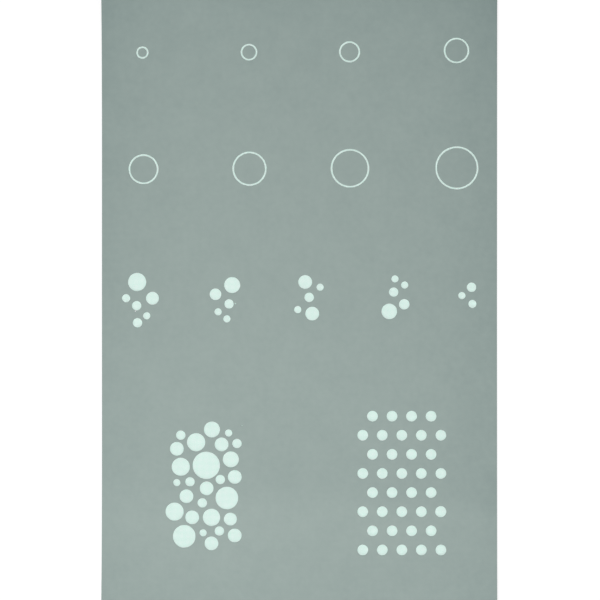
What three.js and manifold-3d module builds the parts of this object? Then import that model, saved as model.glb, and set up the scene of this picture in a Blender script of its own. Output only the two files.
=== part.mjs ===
// A mesh-backed screen stencil, in millimetres. A woven polyester mesh carries a film of hardened
// emulsion, and paint goes through the mesh wherever the film is open. +Z is up through the film,
// +Y runs along the sheet towards the smallest ring, and the origin is at the middle of the underside.

import * as THREE from 'three';
import { mergeVertices, toCreasedNormals } from 'three/addons/utils/BufferGeometryUtils.js';
import Module from 'manifold-3d';

// The sheet: mesh and film are cut together, so they share one outline
const SHEET_WIDTH = 90;
const SHEET_LENGTH = 140;
const MESH_THICKNESS = 0.12;
const FILM_THICKNESS = 0.08;

// Rings: thin open circles, each round a loose island that is one step wider than the last
const RING_LINE = 0.41;
const SMALLEST_ISLAND = 2;
const ISLAND_STEP = 1;
const RING_TOP_MARGIN = 13.5;
const RING_ROW_PITCH = 26.5;
const RING_SIDE_MARGIN = 9.25;
const RING_MIDDLE_GAP = 23;

// Sprays: small groups of dots on one line below the rings
const SPRAY_DROP = 30;
const SPRAY_SIDE_MARGIN = 7.5;

// The two panels near the bottom edge: a bubble panel on the left and a dot grid on the right
const PANEL_BOTTOM_MARGIN = 28.3;
const BUBBLE_SIDE_MARGIN = 23.25;
const GRID_SIDE_MARGIN = 21.7;
const GRID_ROWS = 8;
const GRID_SHORT_ROW = 4;
const GRID_DOT = 2.3;
const GRID_PITCH = 4.45;
const GRID_ROW_PITCH = 4.35;

// The design is drawn in tenths of a millimetre, and dots wash out a little wider all round than drawn
const DRAWING_UNIT = 0.1;
const EDGE_GAIN = 0.08;

// The most that a flat facet may cut inside a true circle, and the angle past which an edge stays crisp
const FACET_SAG = 0.008;
const CREASE_ANGLE = Math.PI / 6;

// How far each ring was drawn right of and above its even place, in drawing units
const RING_DRIFTS = [[0, -2], [0, -1], [-1, 0], [0, 3], [2, -2], [1, -1], [0, 0], [1, 1]];

// Each dot is its place right of and above its group's middle, and its diameter, in drawing units
const SPRAYS = [
  [[5, 41, 40], [-20, 4, 17], [40, 4, 28], [4, -13, 20], [27, -36, 15], [6, -52, 20]],
  [[34, 34, 35], [-4, 13, 25], [27, -9, 20], [2, -27, 15], [22, -43, 15]],
  [[13, 41, 30], [47, 29, 15], [22, 6, 20], [-4, -22, 15], [29, -31, 30]],
  [[30, 48, 15], [52, 34, 15], [27, 18, 20], [51, -10, 22], [17, -26, 34]],
  [[17, 29, 20], [-5, 10, 15], [19, -9, 17]],
];
const BUBBLES = [
  [18, 122, 35], [56, 114, 15], [-53, 109, 20], [-18, 93, 40], [40, 88, 30], [75, 90, 20],
  [-62, 78, 30], [5, 40, 60], [61, 54, 35], [-53, 37, 40], [70, 14, 30], [37, 8, 20],
  [-62, 1, 15], [-32, 3, 20], [6, -12, 30], [52, -34, 50], [-40, -30, 30], [-4, -45, 20],
  [-67, -65, 40], [-27, -78, 30], [17, -78, 38], [60, -82, 28], [-45, -121, 50],
  [-2, -113, 15], [35, -109, 20], [70, -119, 30], [17, -137, 30],
];

// Where the groups sit, measured from the sheet's own edges
const leftEdge = -SHEET_WIDTH / 2;
const rightEdge = SHEET_WIDTH / 2;
const topEdge = SHEET_LENGTH / 2;
const bottomEdge = -SHEET_LENGTH / 2;
const firstRingRow = topEdge - RING_TOP_MARGIN;
const secondRingRow = firstRingRow - RING_ROW_PITCH;
const sprayLine = secondRingRow - SPRAY_DROP;
const panelLine = bottomEdge + PANEL_BOTTOM_MARGIN;

// Ring places, from the smallest at the top left to the largest at the end of the second row
const ringColumns = [
  leftEdge + RING_SIDE_MARGIN,
  -RING_MIDDLE_GAP / 2,
  RING_MIDDLE_GAP / 2,
  rightEdge - RING_SIDE_MARGIN,
];
const ringCentres = [firstRingRow, secondRingRow].flatMap((y) => ringColumns.map((x) => ({ x, y })));
const rings = ringCentres.map(({ x, y }, index) => ({
  x: x + RING_DRIFTS[index][0] * DRAWING_UNIT,
  y: y + RING_DRIFTS[index][1] * DRAWING_UNIT,
  island: SMALLEST_ISLAND + index * ISLAND_STEP,
}));

// A drawn group of dots, put at its middle and grown by the wash-out
function drawnDots(dots, middleX, middleY) {
  return dots.map(([right, above, diameter]) => ({
    x: middleX + right * DRAWING_UNIT,
    y: middleY + above * DRAWING_UNIT,
    diameter: diameter * DRAWING_UNIT + 2 * EDGE_GAIN,
  }));
}

// The sprays stand evenly between the side margins
function sprayDots() {
  const firstX = leftEdge + SPRAY_SIDE_MARGIN;
  const pitch = (SHEET_WIDTH - 2 * SPRAY_SIDE_MARGIN) / (SPRAYS.length - 1);
  return SPRAYS.flatMap((dots, index) => drawnDots(dots, firstX + index * pitch, sprayLine));
}

// Staggered rows: every second row has one dot more and sits half a pitch to the side
function gridDots() {
  const middleX = rightEdge - GRID_SIDE_MARGIN;
  const dots = [];
  for (let row = 0; row < GRID_ROWS; row += 1) {
    const count = GRID_SHORT_ROW + (row % 2);
    for (let column = 0; column < count; column += 1) {
      dots.push({
        x: middleX + (column - (count - 1) / 2) * GRID_PITCH,
        y: panelLine + ((GRID_ROWS - 1) / 2 - row) * GRID_ROW_PITCH,
        diameter: GRID_DOT + 2 * EDGE_GAIN,
      });
    }
  }
  return dots;
}

// A flat round disc that stands on z = 0, with enough facets to look round at its size
function disc(diameter, thickness) {
  const radius = diameter / 2;
  const facets = Math.ceil(Math.PI / Math.acos(1 - FACET_SAG / radius));
  const geometry = new THREE.CylinderGeometry(radius, radius, thickness, facets);
  geometry.rotateX(Math.PI / 2);
  geometry.translate(0, 0, thickness / 2);
  return geometry;
}

// A flat rectangle of the whole sheet that stands on z = 0
function wholeSheet(thickness) {
  const geometry = new THREE.BoxGeometry(SHEET_WIDTH, SHEET_LENGTH, thickness);
  geometry.translate(0, 0, thickness / 2);
  return geometry;
}

const wasm = await Module();
wasm.setup();

// A three.js geometry as a solid that can be cut
function solidOf(geometry) {
  geometry.deleteAttribute('normal');
  geometry.deleteAttribute('uv');
  const merged = mergeVertices(geometry);
  const vertProperties = new Float32Array(merged.attributes.position.array);
  const triVerts = new Uint32Array(merged.index.array);
  return new wasm.Manifold(new wasm.Mesh({ numProp: 3, vertProperties, triVerts }));
}

// A cut solid as a three.js geometry with crisp edges
function geometryOf(solid) {
  const { vertProperties, triVerts } = solid.getMesh();
  const geometry = new THREE.BufferGeometry();
  geometry.setAttribute('position', new THREE.BufferAttribute(vertProperties, 3));
  geometry.setIndex(new THREE.BufferAttribute(triVerts, 1));
  return toCreasedNormals(geometry, CREASE_ANGLE);
}

// The woven mesh: pale polyester cloth under everything, modelled by its outer form
function screenMesh() {
  const polyester = new THREE.MeshStandardMaterial({ color: 0xdaf0e9, roughness: 0.6, metalness: 0 });
  const mesh = new THREE.Mesh(wholeSheet(MESH_THICKNESS), polyester);
  mesh.name = 'screen_mesh';
  return mesh;
}

// Hardened emulsion: the same satin grey-green coat on the film and on its islands
function hardenedEmulsion() {
  return new THREE.MeshStandardMaterial({ color: 0x97a6a1, roughness: 0.45, metalness: 0 });
}

// The film: hardened emulsion over the whole mesh, with every ring and dot washed clean through it
function stencilFilm() {
  const ringOpenings = rings.map(({ x, y, island }) => ({ x, y, diameter: island + 2 * RING_LINE }));
  const bubbleDots = drawnDots(BUBBLES, leftEdge + BUBBLE_SIDE_MARGIN, panelLine);
  const openings = [...ringOpenings, ...sprayDots(), ...bubbleDots, ...gridDots()];
  let film = solidOf(wholeSheet(FILM_THICKNESS));
  for (const { x, y, diameter } of openings) {
    const cutter = disc(diameter, 3 * FILM_THICKNESS);
    cutter.translate(x, y, -FILM_THICKNESS);
    film = film.subtract(solidOf(cutter));
  }
  const mesh = new THREE.Mesh(geometryOf(film), hardenedEmulsion());
  mesh.name = 'stencil_film';
  return mesh;
}

// The ring islands: loose discs of the same film, which only the mesh holds in place
function ringIsland({ x, y, island }, index) {
  const mesh = new THREE.Mesh(disc(island, FILM_THICKNESS), hardenedEmulsion());
  mesh.name = `ring_island_${index + 1}`;
  mesh.position.set(x, y, 0);
  return mesh;
}

const coating = new THREE.Group();
coating.position.z = MESH_THICKNESS;
coating.add(stencilFilm(), ...rings.map(ringIsland));

const stencil = new THREE.Group();
stencil.add(screenMesh(), coating);

export default stencil;
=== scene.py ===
import math

import bmesh
import bpy
from mathutils import Color, Matrix, Vector, noise


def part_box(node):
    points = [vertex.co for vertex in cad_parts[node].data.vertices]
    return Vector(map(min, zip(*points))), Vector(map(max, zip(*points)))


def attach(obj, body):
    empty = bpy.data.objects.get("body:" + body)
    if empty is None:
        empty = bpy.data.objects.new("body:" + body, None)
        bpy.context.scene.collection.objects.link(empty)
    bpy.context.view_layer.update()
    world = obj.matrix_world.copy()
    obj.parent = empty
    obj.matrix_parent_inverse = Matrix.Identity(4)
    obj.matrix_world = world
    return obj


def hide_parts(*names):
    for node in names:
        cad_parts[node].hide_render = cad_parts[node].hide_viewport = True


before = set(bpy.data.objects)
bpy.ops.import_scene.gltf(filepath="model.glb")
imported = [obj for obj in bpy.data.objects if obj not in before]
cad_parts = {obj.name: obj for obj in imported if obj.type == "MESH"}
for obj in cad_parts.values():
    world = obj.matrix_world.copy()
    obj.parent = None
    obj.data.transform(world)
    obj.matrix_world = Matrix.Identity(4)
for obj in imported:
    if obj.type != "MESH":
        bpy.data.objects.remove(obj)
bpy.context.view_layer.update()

# The filled cloth
# A plain-woven polyester screen cloth carries the whole stencil. Emulsion has soaked through its weave
# and hardened there, everywhere but in the openings, so it is one thin closed sheet, faintly woven.
MM = 0.001
WEAVE_RELIEF = 0.01 * MM
SOAK = 9 * MM

# Rims are drawn in short steps, and wander a little as the wash left them
RIM_STEP = 0.16 * MM
LEAST_RIM_SIDES = 40
RIM_WANDER = 0.03 * MM
RIM_WANDER_LENGTH = 0.55 * MM

# How the sheet lies: both ends curl up, more at the left, and a slow slanting ripple runs through it
BEND_CELL = 5 * MM
END_CURL = 1.0 * MM
CURL_POWER = 5
CURL_LEAN = 0.5
RIPPLE = 0.06 * MM
RIPPLE_LENGTH = 58 * MM
RIPPLE_SLANT = 0.6

# An edge that turns more than this is a crease, and points nearer than this are one point
CREASE = math.radians(15)
SAME_PLACE = 0.001 * MM

# The threads are spaced wider than in most screen cloth, so that they can be told apart
THREAD_PITCH = 0.27 * MM

# Dust on the exposure glass left a few pinholes: right of and above the sheet's middle, and radius
PINHOLES = (
    (-14.6 * MM, -0.8 * MM, 0.15 * MM),
    (-13.1 * MM, -28.6 * MM, 0.10 * MM),
    (-37.4 * MM, -2.55 * MM, 0.10 * MM),
)

# The sockets of a Mix node: its factor, two numbers or two colours to blend, and the blended colour
FACTOR, NUMBER_A, NUMBER_B, COLOUR_A, COLOUR_B, BLENDED = 0, 2, 3, 6, 7, 2

cloth_low, cloth_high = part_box("screen_mesh")
half_width = cloth_high.x
half_length = cloth_high.y
scene = bpy.context.scene


def colour(code):
    """An sRGB hex colour as linear red, green and blue, with full alpha."""
    srgb = Color([level / 255 for level in bytes.fromhex(code.lstrip("#"))])
    return [*srgb.from_srgb_to_scene_linear(), 1.0]


def add(tree, kind, inputs, **settings):
    """Adds a shader node with its settings, and fills each named input with a value or a link."""
    node = tree.nodes.new("ShaderNode" + kind)
    for name, value in settings.items():
        setattr(node, name, value)
    for name, value in inputs.items():
        if isinstance(value, bpy.types.NodeSocket):
            tree.links.new(value, node.inputs[name])
        else:
            node.inputs[name].default_value = value
    return node


def new_material(name):
    """A new material and its node tree, with no nodes in it yet."""
    material = bpy.data.materials.new(name)
    material.use_nodes = True
    material.node_tree.nodes.clear()
    return material, material.node_tree


def weave_height(tree, place):
    """The height of a plain weave, 0 to 1: every thread is a ridge that goes over and under by turns."""
    turn = math.pi / THREAD_PITCH
    angles = add(tree, "VectorMath", {0: place, 1: (turn, turn, 0)}, operation="MULTIPLY")
    swings = add(tree, "VectorMath", {0: angles.outputs["Vector"]}, operation="COSINE")
    ridges = add(tree, "VectorMath", {0: swings.outputs["Vector"]}, operation="ABSOLUTE")
    swing = add(tree, "SeparateXYZ", {"Vector": swings.outputs["Vector"]})
    ridge = add(tree, "SeparateXYZ", {"Vector": ridges.outputs["Vector"]})
    crossing = add(tree, "Math", {0: swing.outputs["X"], 1: swing.outputs["Y"]}, operation="MULTIPLY")
    on_top = add(tree, "MapRange", {"Value": crossing.outputs[0], "From Min": -1.0})
    weave = add(
        tree,
        "Mix",
        {FACTOR: on_top.outputs[0], NUMBER_A: ridge.outputs["X"], NUMBER_B: ridge.outputs["Y"]},
    )
    return weave.outputs[0]


def read_openings(film):
    """The round openings of the solid film, each as its centre and radius."""
    walls = bmesh.new()
    walls.from_mesh(film.data)
    bmesh.ops.remove_doubles(walls, verts=walls.verts, dist=SAME_PLACE)
    lying = [face for face in walls.faces if abs(face.normal.z) > math.cos(CREASE)]
    bmesh.ops.delete(walls, geom=lying, context="FACES")
    found = []
    for first in walls.verts:
        if first.tag:
            continue
        # The list grows while it is read, until it holds every corner of this opening's wall
        first.tag = True
        wall = [first]
        for vert in wall:
            for edge in vert.link_edges:
                other = edge.other_vert(vert)
                if not other.tag:
                    other.tag = True
                    wall.append(other)
        centre = sum((vert.co.xy for vert in wall), Vector((0, 0))) / len(wall)
        radius = max((vert.co.xy - centre).length for vert in wall)
        if radius < half_width:
            found.append((centre.x, centre.y, radius))
    walls.free()
    return found


def read_islands():
    """The loose discs inside the rings, each as its node's name, centre and radius."""
    found = []
    for name in sorted(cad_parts):
        if name.startswith("ring_island"):
            low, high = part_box(name)
            found.append((name, (low.x + high.x) / 2, (low.y + high.y) / 2, (high.x - low.x) / 2))
    return found


def draw_rim(bm, x, y, radius, filled=False):
    """A round rim that wanders a little, as the wash leaves it, either open or filled as a disc."""
    middle = Vector((x, y, 0))
    place = Matrix.Translation(middle)
    sides = max(LEAST_RIM_SIDES, math.ceil(2 * math.pi * radius / RIM_STEP))
    rim = bmesh.ops.create_circle(bm, cap_ends=filled, segments=sides, radius=radius, matrix=place)
    for vert in rim["verts"]:
        outwards = (vert.co - middle).normalized()
        vert.co += outwards * RIM_WANDER * noise.noise(vert.co / RIM_WANDER_LENGTH)


def fill_sheet(bm, openings):
    """A flat sheet of the stencil's outline at z = 0, with round openings left out."""
    outline = bmesh.ops.create_grid(bm, x_segments=1, y_segments=1, size=1)
    bmesh.ops.scale(bm, verts=outline["verts"], vec=(half_width, half_length, 1))
    bmesh.ops.delete(bm, geom=bm.faces[:], context="FACES_ONLY")
    for x, y, radius in openings:
        draw_rim(bm, x, y, radius)
    bmesh.ops.triangle_fill(bm, use_beauty=True, edges=bm.edges[:])


def cut_cells(bm):
    """Cuts flat faces into cells that are small enough to bend with the sheet."""
    for across, half in ((Vector((1, 0, 0)), half_width), (Vector((0, 1, 0)), half_length)):
        for i in range(1, round(2 * half / BEND_CELL)):
            geom = bm.verts[:] + bm.edges[:] + bm.faces[:]
            cut = across * (i * BEND_CELL - half)
            bmesh.ops.bisect_plane(bm, geom=geom, dist=SAME_PLACE, plane_co=cut, plane_no=across)
    bmesh.ops.dissolve_degenerate(bm, dist=SAME_PLACE, edges=bm.edges)


def raise_flat(bm, low, high):
    """Gives the flat faces at z = 0 their thickness, from one height to another."""
    flat = bm.faces[:]
    bmesh.ops.translate(bm, verts=bm.verts, vec=(0, 0, low))
    raised = bmesh.ops.extrude_face_region(bm, geom=flat, use_keep_orig=True)
    top = [item for item in raised["geom"] if isinstance(item, bmesh.types.BMVert)]
    bmesh.ops.translate(bm, verts=top, vec=(0, 0, high - low))
    bmesh.ops.recalc_face_normals(bm, faces=bm.faces)
    # The extrusion makes the sides in no fixed order, so all the faces are put in order by their places
    by_place = sorted(bm.faces, key=lambda face: face.calc_center_median()[:])
    for number, face in enumerate(by_place):
        face.index = number
    bm.faces.sort()


def lie(x, y):
    """How far the resting sheet stands off the table: a slow ripple, and ends that curl up a little."""
    along = y / half_length
    curl = END_CURL * abs(along) ** CURL_POWER * (1 - CURL_LEAN * x / half_width)
    ripple = RIPPLE * (1 + math.sin(2 * math.pi * (x + RIPPLE_SLANT * y) / RIPPLE_LENGTH))
    return curl + ripple


def lay_piece(bm, name, material, crease=CREASE):
    """Lays a flat mesh on the table as a piece of the stencil, smooth but for its creases."""
    for vert in bm.verts:
        vert.co.z += lie(vert.co.x, vert.co.y)
    for face in bm.faces:
        face.smooth = True
    for edge in bm.edges:
        if edge.calc_face_angle(0) > crease:
            edge.smooth = False
    mesh = bpy.data.meshes.new(name)
    bm.to_mesh(mesh)
    bm.free()
    mesh.materials.append(material)
    piece = bpy.data.objects.new(name, mesh)
    scene.collection.objects.link(piece)
    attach(piece, "root")
    return piece


openings = read_openings(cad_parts["stencil_film"]) + list(PINHOLES)
islands = read_islands()

# Emulsion dried in a polyester weave: dull grey-green, darker where it soaked in deep, with the paler
# threads as a fine grid. The grid is as fine as the threads are spaced, so it shows only close up.
filled_weave, tree = new_material("emulsion_filled_weave")
place = add(tree, "TexCoord", {}).outputs["Object"]
weave = weave_height(tree, place)
soak = add(tree, "TexNoise", {"Vector": place, "Scale": 1 / SOAK, "Detail": 3.0})
paleness = add(tree, "Math", {0: weave, 1: soak.outputs["Fac"]}, operation="MULTIPLY")
shade = add(
    tree,
    "Mix",
    {FACTOR: paleness.outputs[0], COLOUR_A: colour("#8a9994"), COLOUR_B: colour("#a9b7b2")},
    data_type="RGBA",
)
relief = add(tree, "Bump", {"Height": weave, "Distance": WEAVE_RELIEF})
body = add(
    tree,
    "BsdfPrincipled",
    {
        "Base Color": shade.outputs[BLENDED],
        "Roughness": 0.55,
        "IOR": 1.5,
        "Normal": relief.outputs["Normal"],
    },
)
add(tree, "OutputMaterial", {"Surface": body.outputs["BSDF"]})

bm = bmesh.new()
fill_sheet(bm, openings)
for name, x, y, radius in islands:
    draw_rim(bm, x, y, radius, filled=True)
cut_cells(bm)
raise_flat(bm, cloth_low.z, cloth_high.z)
filled_cloth = lay_piece(bm, "filled_cloth", filled_weave)
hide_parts("screen_mesh")

# The bare threads
# In every opening the emulsion is washed out and the cloth's polyester threads lie bare, crossing over
# and under each other. They hold the islands, and run a little way into the filled cloth round them.
THREAD_WIDTH = 0.115 * MM
THREAD_HEIGHT = 0.042 * MM
ROOT = 0.07 * MM
STAIN = 4 * MM
WEFT, WARP = 0, 1

# A thread has a section of four corners, and none of its long edges is a crease, so that it looks round
SECTION_CORNERS = ((1, 1), (-1, 1), (-1, -1), (1, -1))
ROUNDED = math.pi

# Polyester monofilament, drawn, woven and heat-set: milky and tinted mint by the emulsion that it held,
# a little more here than there, with a soft shine along each thread.
monofilament, tree = new_material("polyester_monofilament")
place = add(tree, "TexCoord", {}).outputs["Object"]
stain = add(tree, "TexNoise", {"Vector": place, "Scale": 1 / STAIN, "Detail": 2.0})
tint = add(
    tree,
    "Mix",
    {FACTOR: stain.outputs["Fac"], COLOUR_A: colour("#d4f9ed"), COLOUR_B: colour("#dcfbf1")},
    data_type="RGBA",
)
body = add(
    tree,
    "BsdfPrincipled",
    {"Base Color": tint.outputs[BLENDED], "Roughness": 0.35, "IOR": 1.57},
)
add(tree, "OutputMaterial", {"Surface": body.outputs["BSDF"]})


def island_radius(x, y):
    """The radius of the island in the opening at a place, or 0 where there is none."""
    for _, island_x, island_y, radius in islands:
        if math.hypot(island_x - x, island_y - y) < THREAD_PITCH:
            return radius
    return 0


def chords(centre, radius, core):
    """The thread lines that cross a round opening, with the stretch under its island left out."""
    outer = radius + ROOT
    inner = core - ROOT
    first = math.ceil((centre - radius) / THREAD_PITCH)
    last = math.floor((centre + radius) / THREAD_PITCH)
    for number in range(first, last + 1):
        aside = number * THREAD_PITCH - centre
        reach = math.sqrt(outer ** 2 - aside ** 2)
        if abs(aside) < inner:
            hidden = math.sqrt(inner ** 2 - aside ** 2)
            yield number, -reach, -hidden
            yield number, hidden, reach
        else:
            yield number, -reach, reach


def string_thread(curve, run, number, start, end):
    """One weft or warp thread between two places on its line, bent over and under those it crosses."""
    first = math.ceil(start / THREAD_PITCH)
    last = math.floor(end / THREAD_PITCH)
    stops = [start, *(i * THREAD_PITCH for i in range(first, last + 1)), end]
    spline = curve.splines.new("POLY")
    spline.points.add(len(stops) - 1)
    middle = cloth_high.z - THREAD_HEIGHT
    sway = THREAD_HEIGHT / 2
    beside = number * THREAD_PITCH
    for point, along in zip(spline.points, stops):
        height = middle + sway * math.cos(math.pi * (along / THREAD_PITCH + number + run))
        x, y = (beside, along) if run == WARP else (along, beside)
        point.co = (x, y, height, 1)


flattened = bpy.data.curves.new("flattened_thread", "CURVE")
section = flattened.splines.new("POLY")
section.points.add(len(SECTION_CORNERS) - 1)
section.use_cyclic_u = True
for point, (aside, up) in zip(section.points, SECTION_CORNERS):
    point.co = (aside * THREAD_WIDTH / 2, up * THREAD_HEIGHT / 2, 0, 1)
thread_section = bpy.data.objects.new("thread_section", flattened)

threads = bpy.data.curves.new("bare_threads", "CURVE")
threads.dimensions = "3D"
threads.twist_mode = "Z_UP"
threads.bevel_mode = "OBJECT"
threads.bevel_object = thread_section
for x, y, radius in openings:
    core = island_radius(x, y)
    for number, start, end in chords(x, radius, core):
        string_thread(threads, WARP, number, y + start, y + end)
    for number, start, end in chords(y, radius, core):
        string_thread(threads, WEFT, number, x + start, x + end)
strung = bpy.data.objects.new("strung_threads", threads)
for helper in (thread_section, strung):
    scene.collection.objects.link(helper)
bm = bmesh.new()
bm.from_mesh(strung.evaluated_get(bpy.context.evaluated_depsgraph_get()).to_mesh())
for helper in (strung, thread_section):
    bpy.data.objects.remove(helper)
ends = bmesh.ops.holes_fill(bm, edges=bm.edges, sides=len(SECTION_CORNERS))["faces"]
for end in ends:
    for edge in end.edges:
        edge.smooth = False
bmesh.ops.recalc_face_normals(bm, faces=bm.faces)
bare_threads = lay_piece(bm, "bare_threads", monofilament, crease=ROUNDED)
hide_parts("screen_mesh")

# The stencil film
# The coat of hardened emulsion on top of the cloth: squeegeed on wet, dried to a satin skin, exposed
# through the design, and washed out in the openings, which leaves each rim a little rounded.
LIP = 0.02 * MM
LIP_SEGMENTS = 2
BLOTCH = 7 * MM
GRAIN = 1.4 * MM
GRAIN_RELIEF = 0.03 * MM
THREAD_RELIEF = 0.01 * MM

# The skin's roughness runs from its least to its most as the blotch goes from low to high
SATIN_LEAST = 0.38
SATIN_MOST = 0.48
BLOTCH_LOW = 0.3
BLOTCH_HIGH = 0.7

# The coat runs from 0, pale, to 1, dark. Painted shade darkens it to the right and the top, and most at
# the top corners, for light that falls off there. It is darker along the sides and the ends, and varies
# with its blotch, its grain and the threads.
SHADE_FALLOFF = (0.04, 0.053, 0)
EDGE_DARKENING = (0.15, 0.115, 0)
TOP_FALLOFF_SHADE = 0.26
BLOTCH_SHARE = 0.24
GRAIN_SHARE = 0.18
THREAD_SHARE = -0.07

# A soft line across the sheet, a little lower to the right: darker above it and paler below
TONE_LINE_HEIGHT = -45 * MM
TONE_LINE_FALL = 0.06
TONE_LINE_EDGE = 3.8 * MM
TONE_LINE_REACH = 27 * MM
TONE_LINE_SHARE = 0.046

film_low, film_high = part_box("stencil_film")

# Photo emulsion, coated, dried and hardened by light: a satin grey-green skin. Painted shade darkens it
# towards the top right, most at the top corners, for light that falls off there. It is darker along the
# edges and above a soft line across the sheet. It has a faint blotch and grain, and the weave just shows
# through it close up.
emulsion, tree = new_material("hardened_emulsion")
place = add(tree, "TexCoord", {}).outputs["Object"]
half_sheet = (half_width, half_length, 1)
spread = add(tree, "VectorMath", {0: place, 1: half_sheet}, operation="DIVIDE").outputs[0]
squares = add(tree, "VectorMath", {0: spread, 1: spread}, operation="MULTIPLY").outputs[0]
fourths = add(tree, "VectorMath", {0: squares, 1: squares}, operation="MULTIPLY").outputs[0]
# Painted shade: darker to the right and the top, standing in for light that falls off there
painted_falloff = add(tree, "VectorMath", {0: spread, 1: SHADE_FALLOFF}, operation="DOT_PRODUCT").outputs["Value"]
# Darker along the sides and the ends; more so towards the top, which is painted shade for light falling
# off there
darker_edges = add(tree, "VectorMath", {0: fourths, 1: EDGE_DARKENING}, operation="DOT_PRODUCT").outputs["Value"]
along = add(tree, "SeparateXYZ", {"Vector": spread}).outputs["Y"]
top_falloff_shade = add(tree, "Math", {0: along, 1: TOP_FALLOFF_SHADE, 2: 1.0}, operation="MULTIPLY_ADD").outputs[0]
coat_and_shade = add(tree, "Math", {0: darker_edges, 1: top_falloff_shade, 2: painted_falloff}, operation="MULTIPLY_ADD").outputs[0]
# A soft line across the sheet: the colour is darker above it and paler below
rise = add(tree, "VectorMath", {0: place, 1: (TONE_LINE_FALL, 1, 0)}, operation="DOT_PRODUCT")
above = add(tree, "Math", {0: rise.outputs["Value"], 1: TONE_LINE_HEIGHT}, operation="SUBTRACT").outputs[0]
away = add(tree, "Math", {0: above}, operation="ABSOLUTE").outputs[0]
side = add(
    tree,
    "MapRange",
    {"Value": above, "From Min": -TONE_LINE_EDGE, "From Max": TONE_LINE_EDGE, "To Min": -1.0},
    interpolation_type="SMOOTHSTEP",
).outputs[0]
tone_line = add(
    tree,
    "MapRange",
    {"Value": away, "From Max": TONE_LINE_REACH, "To Min": TONE_LINE_SHARE, "To Max": 0.0},
    interpolation_type="SMOOTHSTEP",
).outputs[0]
coat_and_shade = add(tree, "Math", {0: side, 1: tone_line, 2: coat_and_shade}, operation="MULTIPLY_ADD").outputs[0]
blotch = add(
    tree,
    "TexNoise",
    {"Vector": place, "Scale": 1 / BLOTCH, "Detail": 4.0, "Roughness": 0.6},
).outputs["Fac"]
grain = add(tree, "TexNoise", {"Vector": place, "Scale": 1 / GRAIN, "Detail": 3.0}).outputs["Fac"]
weave = weave_height(tree, place)
for pattern, share in ((blotch, BLOTCH_SHARE), (grain, GRAIN_SHARE), (weave, THREAD_SHARE)):
    varied = add(tree, "Math", {0: pattern, 1: share, 2: coat_and_shade}, operation="MULTIPLY_ADD")
    coat_and_shade = varied.outputs[0]
# The blended colour holds the coat's own tone together with the painted shade
coat_colour_and_shade = add(
    tree,
    "Mix",
    {FACTOR: coat_and_shade, COLOUR_A: colour("#9baaa5"), COLOUR_B: colour("#617574")},
    data_type="RGBA",
)
telegraph = add(tree, "Bump", {"Height": weave, "Distance": THREAD_RELIEF})
skin = add(
    tree,
    "Bump",
    {"Height": grain, "Distance": GRAIN_RELIEF, "Normal": telegraph.outputs["Normal"]},
)
satin = add(
    tree,
    "MapRange",
    {
        "Value": blotch,
        "From Min": BLOTCH_LOW,
        "From Max": BLOTCH_HIGH,
        "To Min": SATIN_LEAST,
        "To Max": SATIN_MOST,
    },
)
body = add(
    tree,
    "BsdfPrincipled",
    {
        "Base Color": coat_colour_and_shade.outputs[BLENDED],
        "Roughness": satin.outputs[0],
        "IOR": 1.5,
        "Normal": skin.outputs["Normal"],
    },
)
add(tree, "OutputMaterial", {"Surface": body.outputs["BSDF"]})


def round_lips(bm, height):
    """Rounds the sharp edges round the top of the film."""
    top = {vert for vert in bm.verts if abs(vert.co.z - height) < SAME_PLACE}
    sharp = [edge for edge in bm.edges if top.issuperset(edge.verts) and edge.calc_face_angle(0) > CREASE]
    bmesh.ops.bevel(
        bm,
        geom=sharp,
        offset=LIP,
        segments=LIP_SEGMENTS,
        profile=0.5,
        affect="EDGES",
        material=-1,
        clamp_overlap=True,
    )


bm = bmesh.new()
fill_sheet(bm, openings)
cut_cells(bm)
raise_flat(bm, film_low.z, film_high.z)
round_lips(bm, film_high.z)
film = lay_piece(bm, "film", emulsion)
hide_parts("stencil_film")

# The ring islands
# Loose discs of the same film, one inside each ring. They were coated and hardened with the rest of it,
# and only the bare threads that cross the ring hold them in place.
for name, x, y, radius in islands:
    bm = bmesh.new()
    draw_rim(bm, x, y, radius, filled=True)
    cut_cells(bm)
    raise_flat(bm, film_low.z, film_high.z)
    round_lips(bm, film_high.z)
    island = lay_piece(bm, name.replace("ring_island", "island_disc"), emulsion)
    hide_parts(name)

# The studio
# A white table in a white room, with a broad soft lamp close by at the lower left, whose light falls off
# over the sheet, a much weaker lamp opposite, and a camera straight above, well away from the sheet.
TABLE_REACH = 2
TABLE_GAP = 0.01 * MM
TABLE_GLOW = 0.76
ROOM_LIGHT = 0.6
WHITE = colour("#ffffff")

# Each lamp's name, its place and size in metres, and its power in watts
LAMPS = (
    ("key_lamp", (-0.22, -0.46, 0.48), 0.4, 2.6),
    ("fill_lamp", (0.7, 0.5, 0.95), 0.8, 0.8),
)

# The lens and its sensor, in millimetres, and where the sheet's sides stand in the picture, in pixels
LENS = 100
SENSOR = 36
PICTURE_SIDE = 600
SHEET_LEFT_PIXEL = 102
SHEET_RIGHT_PIXEL = 497

scene.view_settings.view_transform = "Standard"


def seen_ray(tree):
    """1 where the camera looks, straight or by gloss or glass, and 0 for the light on the object."""
    ray = add(tree, "LightPath", {}).outputs
    glossy = add(tree, "Math", {0: ray["Is Camera Ray"], 1: ray["Is Glossy Ray"]}, operation="MAXIMUM")
    seen = add(tree, "Math", {0: glossy.outputs[0], 1: ray["Is Transmission Ray"]}, operation="MAXIMUM")
    return seen.outputs[0]


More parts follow.
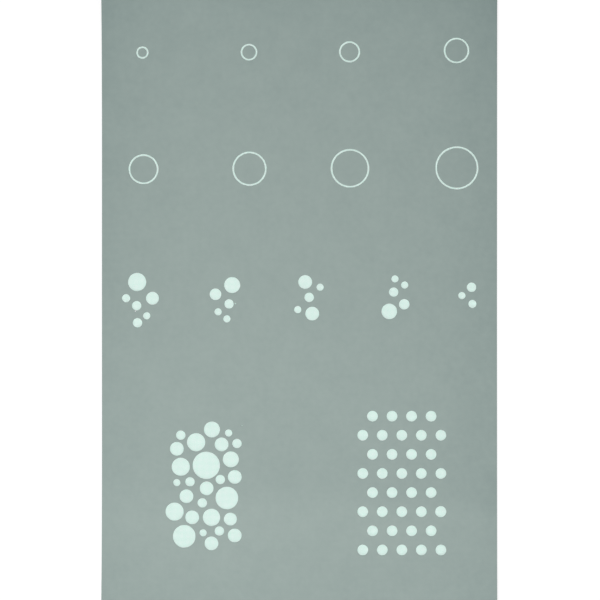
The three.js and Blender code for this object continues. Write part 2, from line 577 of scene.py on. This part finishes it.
# Matt white laminate: it bounces light as pale grey, and where it is seen it is lifted to white, so
# that only the soft shadow of the sheet shows on it.
white, tree = new_material("white_table")
lit = add(tree, "BsdfDiffuse", {"Color": colour("#e6e6e6")})
shaded = add(tree, "BsdfDiffuse", {"Color": colour("#959595")})
glow = add(tree, "Emission", {"Color": WHITE, "Strength": TABLE_GLOW})
shown = add(tree, "AddShader", {0: shaded.outputs[0], 1: glow.outputs[0]})
top = add(tree, "MixShader", {0: seen_ray(tree), 1: lit.outputs[0], 2: shown.outputs[0]})
add(tree, "OutputMaterial", {"Surface": top.outputs[0]})

bm = bmesh.new()
bmesh.ops.create_grid(bm, x_segments=1, y_segments=1, size=TABLE_REACH)
bmesh.ops.translate(bm, verts=bm.verts, vec=(0, 0, -TABLE_GAP))
mesh = bpy.data.meshes.new("table")
bm.to_mesh(mesh)
bm.free()
mesh.materials.append(white)
table = bpy.data.objects.new("table", mesh)
scene.collection.objects.link(table)

world = bpy.data.worlds.new("white_room")
scene.world = world
world.use_nodes = True
tree = world.node_tree
tree.nodes.clear()
level = add(tree, "MapRange", {"Value": seen_ray(tree), "To Min": ROOM_LIGHT, "To Max": 1.0})
room = add(tree, "Background", {"Color": WHITE, "Strength": level.outputs[0]})
add(tree, "OutputWorld", {"Surface": room.outputs[0]})

for name, position, size, power in LAMPS:
    light = bpy.data.lights.new(name, "AREA")
    light.size = size
    light.energy = power
    lamp = bpy.data.objects.new(name, light)
    lamp.location = position
    lamp.rotation_euler = (-lamp.location).to_track_quat("-Z", "Y").to_euler()
    scene.collection.objects.link(lamp)

metres_per_pixel = 2 * half_width / (SHEET_RIGHT_PIXEL - SHEET_LEFT_PIXEL)
sheet_middle_pixel = (SHEET_LEFT_PIXEL + SHEET_RIGHT_PIXEL) / 2
lens = bpy.data.cameras.new("camera")
lens.lens = LENS
lens.sensor_width = SENSOR
camera = bpy.data.objects.new("camera", lens)
camera.location = (
    (PICTURE_SIDE / 2 - sheet_middle_pixel) * metres_per_pixel,
    0,
    film_high.z + PICTURE_SIDE * metres_per_pixel * LENS / SENSOR,
)
scene.collection.objects.link(camera)
scene.camera = camera
